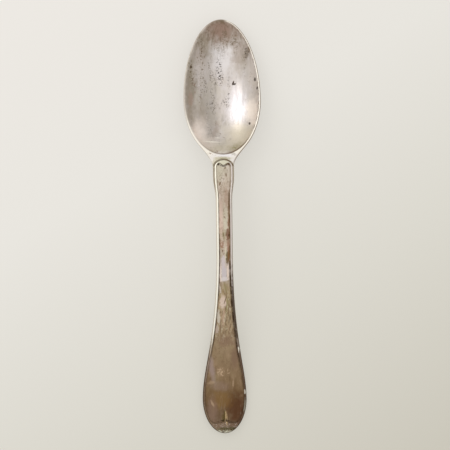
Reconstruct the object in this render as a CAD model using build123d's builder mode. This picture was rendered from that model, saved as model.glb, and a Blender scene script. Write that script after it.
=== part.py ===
# A teaspoon, made of a sheet metal bowl, a forged stem, the hard solder that joins the two,
# and a thread border round the face of the stem.
# Millimetres. +Y runs from the end of the handle to the tip of the bowl and +Z is up. The
# spoon lies on Z = 0, on its belly and on the back of its handle.
import os
from math import acos, cos, degrees, radians, sin, sqrt

from build123d import *

# Bowl
bowl_width = 26.0
bowl_front = 27.4  # from the tip to the widest place
bowl_back = 19.6  # from the widest place to the heel
bowl_depth = 7.0  # from the rim down to the outside of the belly
bowl_tilt = 5.0  # degrees by which the rim rises towards the stem
sheet = 1.1  # one thickness of metal for the belly, the rim's edge and the tongue
rim_width = 0.55  # the rim's flat, seen from above
heel_width = 0.85  # the same flat at the heel, where the bowl meets its neck
rim_bevel = 0.22
belly_wear = 0.06  # depth of the flat that the table has worn on the belly

# Neck and tongue of the bowl, and the stem's metal round them
neck_gap = 0.7  # neck that shows between the heel and the end of the stem
neck_flare = 4.4  # length of the bowl's edge that sweeps into the neck
tongue_width = 5.0
tongue_length = 5.8
solder_gap = 0.12
upper_cheek = 1.0
lower_cheek = 0.95

# Drop, the tapered end of the stem under the bowl
drop_length = 8.5  # reach under the bowl from its heel
drop_height = 0.8
drop_blend = 6.0  # radius of the sweep from the stem's underside into the drop
drop_side = 6.0  # how far the sides run on before they turn in
drop_nose = 2.6  # how far the rounded end runs before it turns back

# Stem seen from above, with places along the handle measured from its end
shoulder_width = 6.9
shoulder_arch = 2.8  # rise of the rounded end that faces the bowl
shoulder_length = 4.9  # from the top of that arch to where the stem narrows
shoulder_slope = 9.7
waist_width = 5.3
waist_length = 15.9
waist_from_end = 62.0
flank_from_end = 42.0
flank_width = 7.0
swell_from_end = 26.0
swell_width = 11.25
spatula_width = 14.85
spatula_round = 11.5  # length of the rounded end

# Stem seen from the side
apex_from_end = 62.0
apex_height = 11.4
apex_thickness = 2.6
fall_from_end = 32.0
fall_height = 6.2
fall_thickness = 2.0
rest_from_end = 11.0
rest_thickness = 1.6
end_lift = 0.9
end_thickness = 1.3
back_wear = 0.05  # depth of the flat that the table has worn on the back of the handle
stem_bevel = 0.8  # along the edges of the stem's back

# Thread border, and the lobes at both ends of the panel inside it
thread_ledge = 0.12  # from the stem's edge to the thread
shoulder_ledge = 0.42  # the same at the shoulder and round its arch
thread_width = 0.65
thread_height = 0.35
panel_dip = 2.1  # from the top of the arch to the dip between the lobes
panel_lobe = 1.4  # from the top of the arch to the lobes
lobe_spacing = 3.2
corner_turn = 35.0  # degrees of the handle's rounded end that the panel follows
end_lobe = 3.4  # from the handle's end to the lobes there
end_lobe_spacing = 5.8
rib_from_end = 8.0  # reach of the rib between those lobes
rib_width = 0.9


def arc_radius(half_chord, rise):
    return (half_chord**2 + rise**2) / (2 * rise)


# The belly is a front and a back ellipse, turned about an axis above the rim. Round across
# its widest place, it meets the rim in two half ellipses
half_bowl = bowl_width / 2
half_hollow = half_bowl - rim_width
belly_rise = bowl_depth - sheet
belly_radius = arc_radius(half_bowl, belly_rise)
belly_front = bowl_front * belly_radius / half_bowl
belly_back = bowl_back * belly_radius / half_bowl
belly_axis = belly_radius - bowl_depth
hollow_radius = arc_radius(half_hollow, belly_rise)
hollow_front = (bowl_front - rim_width) * hollow_radius / half_hollow
hollow_back = (bowl_back - heel_width) * hollow_radius / half_hollow
hollow_axis = hollow_radius - belly_rise
rim_chamfer = min(rim_bevel, rim_width / 3, sheet / 3)
stem_chamfer = min(stem_bevel, 2 * end_thickness / 3, 2 * rest_thickness / 3)

# Places along the spoon, with the middle of its length at Y = 0
tilt = radians(bowl_tilt)
bowl_reach = (bowl_front + bowl_back + neck_gap) * cos(tilt)
stem_reach = shoulder_length + shoulder_slope + waist_length + waist_from_end
tip_y = (bowl_reach + stem_reach) / 2
end_y = -tip_y
arch_y = tip_y - bowl_reach
arch_foot_y = arch_y - shoulder_arch
shoulder_y = arch_y - shoulder_length
waist_y = shoulder_y - shoulder_slope
spatula_y = end_y + spatula_round
half_shoulder = shoulder_width / 2
half_tongue = tongue_width / 2
half_rib = rib_width / 2

# Two tilted planes that meet in the rim where the bowl is widest: one lies in the rim, and
# the other stands along the middle of the bowl
rim_y = tip_y - bowl_front * cos(tilt)
belly_drop = sqrt((belly_radius * cos(tilt)) ** 2 + (belly_front * sin(tilt)) ** 2)
rim_z = belly_drop - belly_axis * cos(tilt) - belly_wear
rim_normal = (0, sin(tilt), cos(tilt))
rim_plane = Plane((0, rim_y, rim_z), x_dir=(1, 0, 0), z_dir=rim_normal)
keel_plane = Plane((0, rim_y, rim_z), x_dir=rim_plane.y_dir, z_dir=(1, 0, 0))
upwards = Axis(rim_plane.origin, rim_normal)

# Places along the bowl's own length, which is measured from its widest place to the tip
arch_at = -bowl_back - neck_gap
foot_at = arch_at - shoulder_arch / cos(tilt)
flare_at = neck_flare - bowl_back
tongue_at = foot_at - tongue_length
nose_at = drop_length - bowl_back
front_at = nose_at + drop_nose
nose_y = rim_y + nose_at * cos(tilt)

# Underside of the stem: level below the tongue, then round the back of the belly
heel_level = -sheet - solder_gap - lower_cheek
drop_radius = belly_radius + solder_gap + drop_height
drop_back = belly_back + solder_gap + drop_height
heel_at = -drop_back * sqrt(1 - ((belly_axis - heel_level) / drop_radius) ** 2)

# Side profiles start on one side of the handle and are extruded across it
side_plane = Plane.YZ.offset(-spatula_width)
backwards = (-cos(tilt), sin(tilt))
end_rise = (-rest_from_end, end_lift)
facing_down = -0.5


def keel_point(place, level):
    """Y and Z of a place along the bowl's length, at a level measured from the rim."""
    point = keel_plane.from_local_coords((place, level))
    return (point.Y, point.Z)


def bowl_edge(place):
    """Half the bowl's width at a place behind the widest one."""
    return half_bowl * sqrt(1 - (place / bowl_back) ** 2)


def drop_point(place):
    """Y and Z of the drop's back at a place along the bowl's length."""
    return keel_point(place, belly_axis - drop_radius * sqrt(1 - (place / drop_back) ** 2))


def belly_arc(radius, reach, start, turn):
    """Part of an ellipse that ends at the deepest place of a belly, as a spline."""
    arc = EllipticalCenterArc((0, 0), radius, reach, start, arc_size=turn, mode=Mode.PRIVATE)
    spline = arc.to_splines().edge()
    add(spline)
    return spline


def belly_arcs(radius, front, back, depth):
    """Outline of a belly beside the axis that it turns about."""
    turn = degrees(acos((radius - depth - sheet) / radius))
    front_arc = belly_arc(radius, front, 0, turn)
    back_arc = belly_arc(radius, back, -turn, turn)
    Line(front_arc @ 1, back_arc @ 0)


def bowl_blank(grow):
    """The bowl before it is hollowed, with its neck and tongue, thickened all over."""
    turning_plane = rim_plane.offset(belly_axis)
    edge_turn = (bowl_edge(flare_at - neck_gap) - bowl_edge(flare_at), -neck_gap)
    flare_top = (bowl_edge(flare_at) + grow, flare_at)
    flare_foot = (half_shoulder + grow, foot_at - grow)
    with BuildPart() as blank:
        with BuildSketch(turning_plane):
            with BuildLine():
                belly_arcs(belly_radius + grow, belly_front + grow, belly_back + grow, bowl_depth)
            make_face()
        revolve(axis=Axis(turning_plane.origin, turning_plane.y_dir), revolution_arc=180)
        split(bisect_by=rim_plane.offset(-sheet), keep=Keep.BOTTOM)
        extrude(blank.faces().sort_by(upwards)[-1], amount=sheet)
        with BuildSketch(rim_plane.offset(grow)):
            with BuildLine():
                Line((0, flare_at), flare_top)
                Spline(flare_top, flare_foot, tangents=(edge_turn, (0, -1)))
                Polyline(
                    flare_foot,
                    (half_tongue + grow, foot_at - grow),
                    (half_tongue + grow, tongue_at - grow),
                    (0, tongue_at - grow),
                )
                mirror(about=Plane.YZ)
            make_face()
        extrude(amount=-sheet - 2 * grow)
    return blank.part


def handle_edge(inset, shoulder_inset):
    """Right edge of the handle, from the foot of the arch to the widest place of the spatula."""
    shoulder = (half_shoulder - shoulder_inset, shoulder_y)
    slope_middle = shoulder_y - shoulder_slope / 2
    waist = (waist_width / 2 - inset, waist_y)
    waist_end = (waist_width / 2 - inset, end_y + waist_from_end)
    flank = (flank_width / 2 - inset, end_y + flank_from_end)
    swell = (swell_width / 2 - inset, end_y + swell_from_end)
    spatula = (spatula_width / 2 - inset, spatula_y)
    Line((half_shoulder - shoulder_inset, arch_foot_y), shoulder)
    Bezier(shoulder, (shoulder[0], slope_middle), (waist[0], slope_middle), waist)
    Line(waist, waist_end)
    Spline(waist_end, flank, swell, spatula, tangents=((0, -1), (0, -1)))


def handle_end(inset, turn):
    """Right side of the handle's rounded end, from its widest place on."""
    half_width = spatula_width / 2 - inset
    return EllipticalCenterArc((0, spatula_y), half_width, spatula_round - inset, 360 - turn, arc_size=turn)


def panel_edge(inset, shoulder_inset):
    """Right edge of the panel: a lobe at the arch, a lobe at the handle's end, half a rib."""
    lobe_y = end_y + end_lobe
    rib_y = end_y + rib_from_end - half_rib
    lobe = (end_lobe_spacing / 2, lobe_y)
    handle_edge(inset, shoulder_inset)
    Spline(
        (half_shoulder - shoulder_inset, arch_foot_y),
        (lobe_spacing / 2, arch_y - panel_lobe),
        (0, arch_y - panel_dip),
        tangents=((0, 1), (-1, 0)),
    )
    corner = handle_end(inset, corner_turn)
    reach = (corner @ 0).X / 2 - end_lobe_spacing / 4
    Bezier(corner @ 0, corner @ 0 - corner % 0 * reach, (lobe[0] + reach, lobe_y), lobe)
    Bezier(lobe, (half_rib, lobe_y), (half_rib, lobe_y), (half_rib, rib_y))
    EllipticalCenterArc((0, rib_y), half_rib, half_rib)


def face_line(lift):
    """The stem's top line seen from the side, lifted off the face."""
    front = keel_point(front_at, solder_gap + upper_cheek)
    foot = keel_point(foot_at, solder_gap + upper_cheek)
    arch_line = Line((front[0], front[1] + lift), (foot[0], foot[1] + lift))
    handle_line = Spline(
        arch_line @ 1,
        (end_y + apex_from_end, apex_height + lift),
        (end_y + fall_from_end, fall_height + lift),
        (end_y + rest_from_end, rest_thickness - back_wear + lift),
        (end_y, end_lift + end_thickness + lift),
        tangents=(backwards, end_rise),
    )
    return arch_line @ 0, handle_line @ 1


def back_line():
    """The stem's underside seen from the side, with the sharp heel where the drop begins."""
    front = drop_point(front_at)
    heel = keel_point(heel_at, heel_level)
    foot = keel_point(foot_at, heel_level)
    ThreePointArc(front, drop_point((front_at + heel_at) / 2), heel)
    Line(heel, foot)
    handle_line = Spline(
        foot,
        (end_y + apex_from_end, apex_height - apex_thickness),
        (end_y + fall_from_end, fall_height - fall_thickness),
        (end_y + rest_from_end, -back_wear),
        (end_y, end_lift),
        tangents=(backwards, end_rise),
    )
    return front, handle_line @ 1


# Bowl, hollowed and with its rim bevelled
bowl_form = bowl_blank(0)
bowl_socket = bowl_blank(solder_gap)
hollow_plane = rim_plane.offset(hollow_axis)
with BuildPart() as bowl:
    add(bowl_form)
    with BuildSketch(hollow_plane):
        with BuildLine():
            belly_arcs(hollow_radius, hollow_front, hollow_back, belly_rise)
        make_face()
    revolve(
        axis=Axis(hollow_plane.origin, hollow_plane.y_dir),
        revolution_arc=180,
        mode=Mode.SUBTRACT,
    )
    rim = bowl.faces().sort_by(upwards)[-1]
    chamfer(rim.edges().filter_by(lambda edge: edge.center().Y > arch_y), length=rim_chamfer)
    split(bisect_by=Plane.XY, keep=Keep.TOP)
bowl.part.label = "bowl"

# Forging of the stem, before it is slotted for the tongue
with BuildPart() as forging:
    with BuildSketch(Plane.XY.offset(-apex_height)):
        with BuildLine():
            handle_edge(0, 0)
            handle_end(0, 90)
            Bezier(
                (half_shoulder, arch_foot_y),
                (half_shoulder, arch_foot_y + drop_side),
                (drop_nose, nose_y),
                (0, nose_y),
            )
            mirror(about=Plane.YZ)
        make_face()
    extrude(amount=3 * apex_height)
    with BuildSketch(side_plane) as side:
        with BuildLine():
            face_front, face_end = face_line(0)
            back_front, back_end = back_line()
            Line(face_front, back_front)
            Line(face_end, back_end)
        make_face()
        heel = side.vertices().sort_by_distance(keel_point(heel_at, heel_level))[0]
        fillet(heel, radius=drop_blend)
    extrude(amount=2 * spatula_width, mode=Mode.INTERSECT)
    underside = forging.faces().filter_by(lambda face: face.normal_at().Z < facing_down)
    chamfer(underside.edges().filter_by(Axis.X, reverse=True), length=stem_chamfer)
    with BuildSketch(rim_plane.offset(-sheet / 2)):
        with Locations((0, foot_at)):
            Rectangle(2 * shoulder_width, bowl_back, align=(Align.CENTER, Align.MIN))
            Ellipse(half_shoulder, arch_at - foot_at, mode=Mode.SUBTRACT)
    extrude(amount=apex_height, mode=Mode.SUBTRACT)
    split(bisect_by=Plane.XY, keep=Keep.TOP)

# Stem, with the slot that takes the tongue and the seat for the back of the bowl
with BuildPart() as stem:
    add(forging.part)
    add(bowl_socket, mode=Mode.SUBTRACT)
stem.part.label = "stem"

# Solder that fills the slot round the tongue and the seat under the bowl
with BuildPart() as solder_seam:
    add(forging.part)
    add(bowl_socket, mode=Mode.INTERSECT)
    add(bowl_form, mode=Mode.SUBTRACT)
solder_seam.part.label = "solder_seam"

# Thread border, which lies on the stem's face and follows its edge
with BuildPart() as thread_border:
    with BuildSketch():
        with BuildLine():
            handle_edge(thread_ledge, shoulder_ledge)
            handle_end(thread_ledge, 90)
            EllipticalCenterArc(
                (0, arch_foot_y),
                half_shoulder - shoulder_ledge,
                shoulder_arch - shoulder_ledge,
            )
            mirror(about=Plane.YZ)
        make_face()
        with BuildLine():
            panel_edge(thread_ledge + thread_width, shoulder_ledge + thread_width)
            mirror(about=Plane.YZ)
        make_face(mode=Mode.SUBTRACT)
    extrude(amount=2 * apex_height)
    with BuildSketch(side_plane):
        with BuildLine():
            seat_front, seat_end = face_line(0)
            crest_front, crest_end = face_line(thread_height)
            Line(seat_front, crest_front)
            Line(seat_end, crest_end)
        make_face()
    extrude(amount=2 * spatula_width, mode=Mode.INTERSECT)
thread_border.part.label = "thread_border"

os.makedirs("parts", exist_ok=True)
export_step(bowl.part, "parts/bowl.step")
export_step(stem.part, "parts/stem.step")
export_step(solder_seam.part, "parts/solder_seam.step")
export_step(thread_border.part, "parts/thread_border.step")
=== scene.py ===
from math import cos, pi, radians, sin, sqrt, tan

import bmesh
import bpy
import numpy as np
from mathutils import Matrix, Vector


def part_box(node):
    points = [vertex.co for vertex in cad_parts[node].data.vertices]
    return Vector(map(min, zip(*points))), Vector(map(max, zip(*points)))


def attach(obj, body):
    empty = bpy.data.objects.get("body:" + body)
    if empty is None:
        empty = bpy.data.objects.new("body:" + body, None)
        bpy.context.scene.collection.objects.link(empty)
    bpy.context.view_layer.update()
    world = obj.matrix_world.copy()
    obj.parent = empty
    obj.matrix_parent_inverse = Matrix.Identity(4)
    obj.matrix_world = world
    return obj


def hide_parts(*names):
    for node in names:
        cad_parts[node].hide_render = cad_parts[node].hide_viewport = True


# an old silver teaspoon with a thread border: sizes are in millimetres, the scene is in metres
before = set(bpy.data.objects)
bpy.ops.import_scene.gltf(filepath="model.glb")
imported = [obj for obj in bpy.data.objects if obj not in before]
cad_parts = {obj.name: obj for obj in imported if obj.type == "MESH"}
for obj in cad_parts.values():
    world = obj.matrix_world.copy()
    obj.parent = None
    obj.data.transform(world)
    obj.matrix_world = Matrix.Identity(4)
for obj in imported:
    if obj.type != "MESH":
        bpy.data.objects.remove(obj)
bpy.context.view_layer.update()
mm = 0.001
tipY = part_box("bowl")[1].y / mm
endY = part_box("stem")[0].y / mm


# shared mesh helpers

def arcRadius(halfChord, rise):
    return (halfChord ** 2 + rise ** 2) / (2 * rise)


def hermite(start, startTurn, end, endTurn, count):
    # points of a smooth curve, the last one left out so that curves can follow each other
    start, startTurn, end, endTurn = (np.array(p, float) for p in (start, startTurn, end, endTurn))
    t = np.linspace(0, 1, count, endpoint=False)[:, None]
    return ((2 * t ** 3 - 3 * t ** 2 + 1) * start + (t ** 3 - 2 * t ** 2 + t) * startTurn
            + (3 * t ** 2 - 2 * t ** 3) * end + (t ** 3 - t ** 2) * endTurn)


def splineThrough(places, values, startSlope, endSlope):
    # cubic through a few points, with a given slope at both ends
    places, values = np.array(places, float), np.array(values, float)
    steps = np.diff(places)
    rises = np.diff(values) / steps
    count = len(places)
    system, right = np.zeros((count, count)), np.zeros(count)
    system[0, 0] = system[-1, -1] = 1
    right[0], right[-1] = startSlope, endSlope
    for k in range(1, count - 1):
        system[k, k - 1:k + 2] = steps[k], 2 * (steps[k - 1] + steps[k]), steps[k - 1]
        right[k] = 3 * (steps[k] * rises[k - 1] + steps[k - 1] * rises[k])
    slopes = np.linalg.solve(system, right)

    def at(place):
        k = np.clip(np.searchsorted(places, place) - 1, 0, count - 2)
        t = (place - places[k]) / steps[k]
        a, b = values[k], values[k + 1]
        sa, sb = slopes[k] * steps[k], slopes[k + 1] * steps[k]
        return (a * (2 * t ** 3 - 3 * t ** 2 + 1) + sa * (t ** 3 - 2 * t ** 2 + t)
                + b * (3 * t ** 2 - 2 * t ** 3) + sb * (t ** 3 - t ** 2))
    return at


def softMin(a, b, reach):
    h = np.clip(0.5 + 0.5 * (b - a) / reach, 0, 1)
    return b + (a - b) * h - reach * h * (1 - h)


def insetHalf(half, distance):
    # moves the right half of an outline inwards, both of its ends stay on the middle line
    turn = np.gradient(half, axis=0)
    out = np.stack([-turn[:, 1], turn[:, 0]], axis=1)
    out /= np.linalg.norm(out, axis=1)[:, None]
    out[0], out[-1] = (0, 1), (0, -1)
    inner = half - out * distance
    inner[[0, -1], 0] = 0
    return inner


def wholeLoop(half):
    # the right half of an outline and its mirror image, as one closed loop
    return np.concatenate([half, half[-2:0:-1] * ((-1,) + (1,) * (half.shape[1] - 1))])


def cleanMesh(mesh):
    work = bmesh.new()
    work.from_mesh(mesh)
    bmesh.ops.remove_doubles(work, verts=work.verts, dist=0.0005 * mm)
    bmesh.ops.dissolve_degenerate(work, edges=work.edges, dist=0.0005 * mm)
    bmesh.ops.recalc_face_normals(work, faces=work.faces)
    work.to_mesh(mesh)
    work.free()
    mesh.shade_smooth()


def newPiece(name, points, faces, masks=None):
    mesh = bpy.data.meshes.new(name)
    mesh.from_pydata([tuple(p * mm) for p in points], [], faces)
    for mask, values in (masks or {}).items():
        mesh.attributes.new(mask, "FLOAT", "POINT").data.foreach_set("value", np.asarray(values, np.float32))
    cleanMesh(mesh)
    piece = bpy.data.objects.new(name, mesh)
    bpy.context.scene.collection.objects.link(piece)
    print(name, len(mesh.polygons), "faces")
    return piece


# shared node helpers

def put(tree, kind, inputs=None, **settings):
    node = tree.nodes.new(kind)
    for key, value in settings.items():
        setattr(node, key, value)
    for key, value in (inputs or {}).items():
        if isinstance(value, bpy.types.NodeSocket):
            tree.links.new(value, node.inputs[key])
        else:
            node.inputs[key].default_value = value
    return node


def calc(tree, operation, a, b=0.0, clamp=False):
    return put(tree, "ShaderNodeMath", {0: a, 1: b}, operation=operation, use_clamp=clamp).outputs[0]


def times(tree, a, b):
    return calc(tree, "MULTIPLY", a, b)


def plus(tree, a, b, clamp=False):
    return calc(tree, "ADD", a, b, clamp)


def minus(tree, a, b, clamp=False):
    return calc(tree, "SUBTRACT", a, b, clamp)


def most(tree, a, b):
    return calc(tree, "MAXIMUM", a, b)


def vectorCalc(tree, operation, a, b):
    return put(tree, "ShaderNodeVectorMath", {0: a, 1: b}, operation=operation).outputs[0]


def noiseAt(tree, place, scale, detail, **more):
    sizes = {"Vector": place, "Scale": scale, "Detail": detail, **more}
    return put(tree, "ShaderNodeTexNoise", sizes).outputs[0]


def turnFlat(tree, place, angle):
    sizes = {"Vector": place, "Angle": angle}
    return put(tree, "ShaderNodeVectorRotate", sizes, rotation_type="Z_AXIS").outputs[0]


def between(tree, value, low, high, start=0.0, end=1.0):
    sizes = {0: value, 1: low, 2: high, 3: start, 4: end}
    return put(tree, "ShaderNodeMapRange", sizes, interpolation_type="SMOOTHSTEP").outputs[0]


def tint(tree, share, under, over):
    under, over = (tone(shade) if isinstance(shade, str) else shade for shade in (under, over))
    return put(tree, "ShaderNodeMix", {0: share, 6: under, 7: over}, data_type="RGBA").outputs[2]


def newGroup(name, kind, inputs, outputs):
    tree = bpy.data.node_groups.new(name, kind)
    for socket, form in inputs.items():
        tree.interface.new_socket(name=socket, in_out="INPUT", socket_type="NodeSocket" + form)
    for socket, form in outputs.items():
        tree.interface.new_socket(name=socket, in_out="OUTPUT", socket_type="NodeSocket" + form)
    return tree, tree.nodes.new("NodeGroupInput").outputs, tree.nodes.new("NodeGroupOutput").inputs


def growPiece(name, base, tree, values):
    # runs a Geometry Nodes tree on a base mesh and keeps the result as a plain mesh
    piece = bpy.data.objects.new(name, base)
    bpy.context.scene.collection.objects.link(piece)
    modifier = piece.modifiers.new(tree.name, "NODES")
    modifier.node_group = tree
    for item in tree.interface.items_tree:
        if item.in_out == "INPUT" and item.name in values:
            modifier[item.identifier] = values[item.name]
    graph = bpy.context.evaluated_depsgraph_get()
    mesh = bpy.data.meshes.new_from_object(piece.evaluated_get(graph))
    piece.modifiers.remove(modifier)
    piece.data = mesh
    mesh.name = name
    cleanMesh(mesh)
    print(name, len(mesh.polygons), "faces")
    return piece


# shared finishes: tones as they look, in sRGB
tones = dict(
    warmGrey=(199, 190, 178), roseGrey=(205, 195, 187), leadGrey=(164, 155, 144), rimCream=(242, 235, 222),
    lilac=(216, 209, 208), palePink=(226, 214, 204), cream=(252, 246, 230), straw=(208, 197, 170),
    haze=(152, 130, 114), rose=(176, 150, 136), olive=(150, 138, 98), smudge=(150, 142, 104),
    tipOlive=(112, 96, 72), edgeOlive=(136, 124, 98), pit=(70, 60, 50), brown=(112, 88, 64),
    rust=(122, 84, 66), bark=(84, 61, 44), umber=(58, 38, 20), moss=(76, 72, 40), tan=(196, 168, 138),
    earth=(104, 77, 48),
)


def tone(name):
    # linear colour for a shader, from a name or from an sRGB triple
    shades = [value / 255 for value in (tones[name] if isinstance(name, str) else name)]
    return tuple(s / 12.92 if s <= 0.04045 else ((s + 0.055) / 1.055) ** 2.4 for s in shades) + (1.0,)


def raggedStainAndLight():
    # an ellipse with a ragged edge
    inputs = {"Place": "Vector", "Centre": "Vector", "Reach": "Vector", "Turn": "Float", "Ragged": "Float",
              "Grain": "Float", "Fade": "Float"}
    tree, given, result = newGroup("raggedStainAndLight", "ShaderNodeTree", inputs, {"Mask": "Float"})
    away = vectorCalc(tree, "SUBTRACT", given["Place"], given["Centre"])
    share = vectorCalc(tree, "DIVIDE", turnFlat(tree, away, given["Turn"]), given["Reach"])
    distance = put(tree, "ShaderNodeVectorMath", {0: share}, operation="LENGTH").outputs["Value"]
    noise = noiseAt(tree, given["Place"], given["Grain"], 4.0)
    ripple = times(tree, minus(tree, noise, 0.5), given["Ragged"])
    edge = plus(tree, distance, times(tree, ripple, 2))
    inner, outer = minus(tree, 1, given["Fade"]), plus(tree, 1, given["Fade"])
    tree.links.new(between(tree, edge, inner, outer, 1.0, 0.0), result["Mask"])
    return tree


def pitSpecks():
    # irregular specks in clusters, where a fine noise rises over a level
    inputs = {"Place": "Vector", "Density": "Float", "Level": "Float"}
    tree, given, result = newGroup("pitSpecks", "ShaderNodeTree", inputs, {"Mask": "Float"})
    noise = noiseAt(tree, given["Place"], given["Density"], 2.0)
    fine = between(tree, noise, given["Level"], plus(tree, given["Level"], 0.06))
    place = vectorCalc(tree, "MULTIPLY", given["Place"], (0.55, 0.2, 0.55))
    cluster = between(tree, noiseAt(tree, place, 1.0, 3.0), 0.42, 0.6)
    tree.links.new(times(tree, fine, cluster), result["Mask"])
    return tree


def cloudMottle():
    # soft clouds, stretched along the spoon or across it
    inputs = {"Place": "Vector", "Stretch": "Vector", "Low": "Float", "High": "Float"}
    tree, given, result = newGroup("cloudMottle", "ShaderNodeTree", inputs, {"Mask": "Float"})
    place = vectorCalc(tree, "MULTIPLY", given["Place"], given["Stretch"])
    noise = noiseAt(tree, place, 1.0, 5.0, Roughness=0.6)
    tree.links.new(between(tree, noise, given["Low"], given["High"]), result["Mask"])
    return tree


def hairScratches():
    # fine scratches in one direction, broken up so that none runs on for long
    inputs = {"Place": "Vector", "Turn": "Float", "Density": "Float"}
    tree, given, result = newGroup("hairScratches", "ShaderNodeTree", inputs, {"Mask": "Float"})
    turned = turnFlat(tree, given["Place"], given["Turn"])
    thin = vectorCalc(tree, "MULTIPLY", turned, (1.0, 0.05, 1.0))
    lines = between(tree, noiseAt(tree, thin, given["Density"], 2.0), 0.62, 0.72)
    breaks = between(tree, noiseAt(tree, given["Place"], 0.35, 1.0), 0.45, 0.65)
    tree.links.new(times(tree, lines, breaks), result["Mask"])
    return tree


stainAndLightGroup, speckGroup, mottleGroup, scratchGroup = raggedStainAndLight(), pitSpecks(), cloudMottle(), hairScratches()
speckLevel = 0.53  # in a stain, specks show where the noise is over this
silver = dict(metallic=0.85, lessMetallic=0.6, rougher=0.3, specular=0.2)  # what dull takes away and adds


def specks(tree, place, density, level):
    sizes = {"Place": place, "Density": density, "Level": level}
    return put(tree, "ShaderNodeGroup", sizes, node_tree=speckGroup).outputs[0]


def mottle(tree, place, stretch, low, high):
    sizes = {"Place": place, "Stretch": stretch, "Low": low, "High": high}
    return put(tree, "ShaderNodeGroup", sizes, node_tree=mottleGroup).outputs[0]


def scratches(tree, place, turn, density):
    sizes = {"Place": place, "Turn": radians(turn), "Density": density}
    return put(tree, "ShaderNodeGroup", sizes, node_tree=scratchGroup).outputs[0]


def attribute(tree, name):
    return put(tree, "ShaderNodeAttribute", attribute_name=name).outputs["Fac"]


def mark(x, y, wide, long, shade, share, turn=0, grain=1.2, ragged=0.5, fade=0.35, dull=0.7, specks=0):
    # one placed spot, a stain or a patch of painted highlight or shade: its middle and reach, its tone, and
    # how much of it shows
    sizes = {"Centre": (x, y, 0), "Reach": (wide, long, 1000.0), "Turn": radians(turn), "Ragged": ragged,
             "Grain": grain, "Fade": fade}
    return dict(sizes=sizes, tone=shade, share=share, dull=dull, specks=specks)


def layStainsAndPaintedLight(tree, place, colour, dull, stainsAndPaintedLight):
    # lays stains and patches of painted highlight and shade over a colour, each dulls the metal too
    for spot in stainsAndPaintedLight:
        sizes = {"Place": place, **spot["sizes"]}
        mask = put(tree, "ShaderNodeGroup", sizes, node_tree=stainAndLightGroup).outputs[0]
        if spot["specks"]:
            mask = times(tree, mask, specks(tree, place, spot["specks"], speckLevel))
        mask = times(tree, mask, spot["share"])
        colour = tint(tree, mask, colour, tone(spot["tone"]))
        dull = most(tree, dull, times(tree, mask, spot["dull"]))
    return colour, dull


def toneRamp(tree, share, stops):
    # a colour ramp through places and tones
    first, last = stops[0][0], stops[-1][0]
    ramp = put(tree, "ShaderNodeValToRGB", {0: share})
    points = ramp.color_ramp.elements
    while len(points) < len(stops):
        points.new(0.5)
    for point, (at, shade) in zip(points, stops):
        point.position = (at - first) / (last - first)
        point.color = tone(shade)
    return ramp.outputs[0]


def newMaterial(name):
    material = bpy.data.materials.new(name)
    material.use_nodes = True
    tree = material.node_tree
    coords = put(tree, "ShaderNodeTexCoord").outputs["Object"]
    place = put(tree, "ShaderNodeVectorMath", {0: coords, "Scale": 1 / mm}, operation="SCALE").outputs[0]
    return material, tree, place


def finishSilver(tree, colour, dull, gloss, height, depth):
    # dull metal is rougher and less metallic, bumps are given as a share of their depth
    shader = tree.nodes["Principled BSDF"]
    shader.inputs["Specular IOR Level"].default_value = silver["specular"]  # tarnish is matt
    rough = plus(tree, gloss, times(tree, dull, silver["rougher"]))
    metal = minus(tree, silver["metallic"], times(tree, dull, silver["lessMetallic"]), clamp=True)
    bump = put(tree, "ShaderNodeBump", {"Strength": 1.0, "Distance": depth * mm, "Height": height}).outputs[0]
    ends = {"Base Color": colour, "Roughness": rough, "Metallic": metal, "Normal": bump}
    for socket, value in ends.items():
        tree.links.new(value, shader.inputs[socket])


# bowl, built in the tilted plane of its rim: u across, v towards the tip, w up from the rim
bowlForm = dict(
    width=26.0, front=27.4, back=19.6,  # front and back are measured from the widest place
    depth=7.0, tilt=5.0, sheet=1.1, bellyWear=0.06,
    rimWidth=0.55, heelWidth=0.85, rimRound=0.2, rimFlat=0.05,
    neckGap=0.7, neckFlare=4.4, neckHalf=3.45, neckTongue=2.4, tongueDepth=1.6, tongueStep=0.3,
    archRise=2.8,
    bellyReach=0.985, hollowReach=0.94,  # shares of the outline that the even rings go out to
    bellyRings=26, hollowRings=30, edgePoints=88, flarePoints=22, tonguePoints=7,
)
tilt = radians(bowlForm["tilt"])


def turnedForm(half, front, back, rise, depth):
    # an ellipse turned about an axis above the rim, round across the widest place
    radius = arcRadius(half, rise)
    stretch = radius / half
    return dict(half=half, front=front, back=back, radius=radius, axis=radius - depth,
                frontReach=front * stretch, backReach=back * stretch)


rise = bowlForm["depth"] - bowlForm["sheet"]
rim = bowlForm["rimWidth"]
belly = turnedForm(bowlForm["width"] / 2, bowlForm["front"], bowlForm["back"], rise, bowlForm["depth"])
heel = belly["back"] - bowlForm["heelWidth"]
hollow = turnedForm(belly["half"] - rim, belly["front"] - rim, heel, rise, rise)
rimY = tipY - bowlForm["front"] * cos(tilt)
bellyDrop = sqrt((belly["radius"] * cos(tilt)) ** 2 + (belly["frontReach"] * sin(tilt)) ** 2)
rimZ = bellyDrop - belly["axis"] * cos(tilt) - bowlForm["bellyWear"]
archAt = -bowlForm["back"] - bowlForm["neckGap"]
footAt = archAt - bowlForm["archRise"] / cos(tilt)
flareAt = bowlForm["neckFlare"] - bowlForm["back"]


def fromRim(points):
    u, v, w = np.asarray(points, float).T
    return np.stack([u, rimY + v * cos(tilt) + w * sin(tilt), rimZ - v * sin(tilt) + w * cos(tilt)], axis=1)


def turnedLevel(form, u, v, stand=0.0):
    reach = np.where(v > 0, form["frontReach"], form["backReach"]) + stand
    radius = form["radius"] + stand
    return form["axis"] - np.sqrt(np.maximum(radius ** 2 * (1 - (v / reach) ** 2) - u ** 2, 0))


def eggHalf(form, angle):
    # right half of an egg outline, from the tip at angle 0 to the heel at pi
    reach = np.where(np.cos(angle) > 0, form["front"], form["back"])
    return np.stack([form["half"] * np.sin(angle), reach * np.cos(angle)], axis=1)


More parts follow.
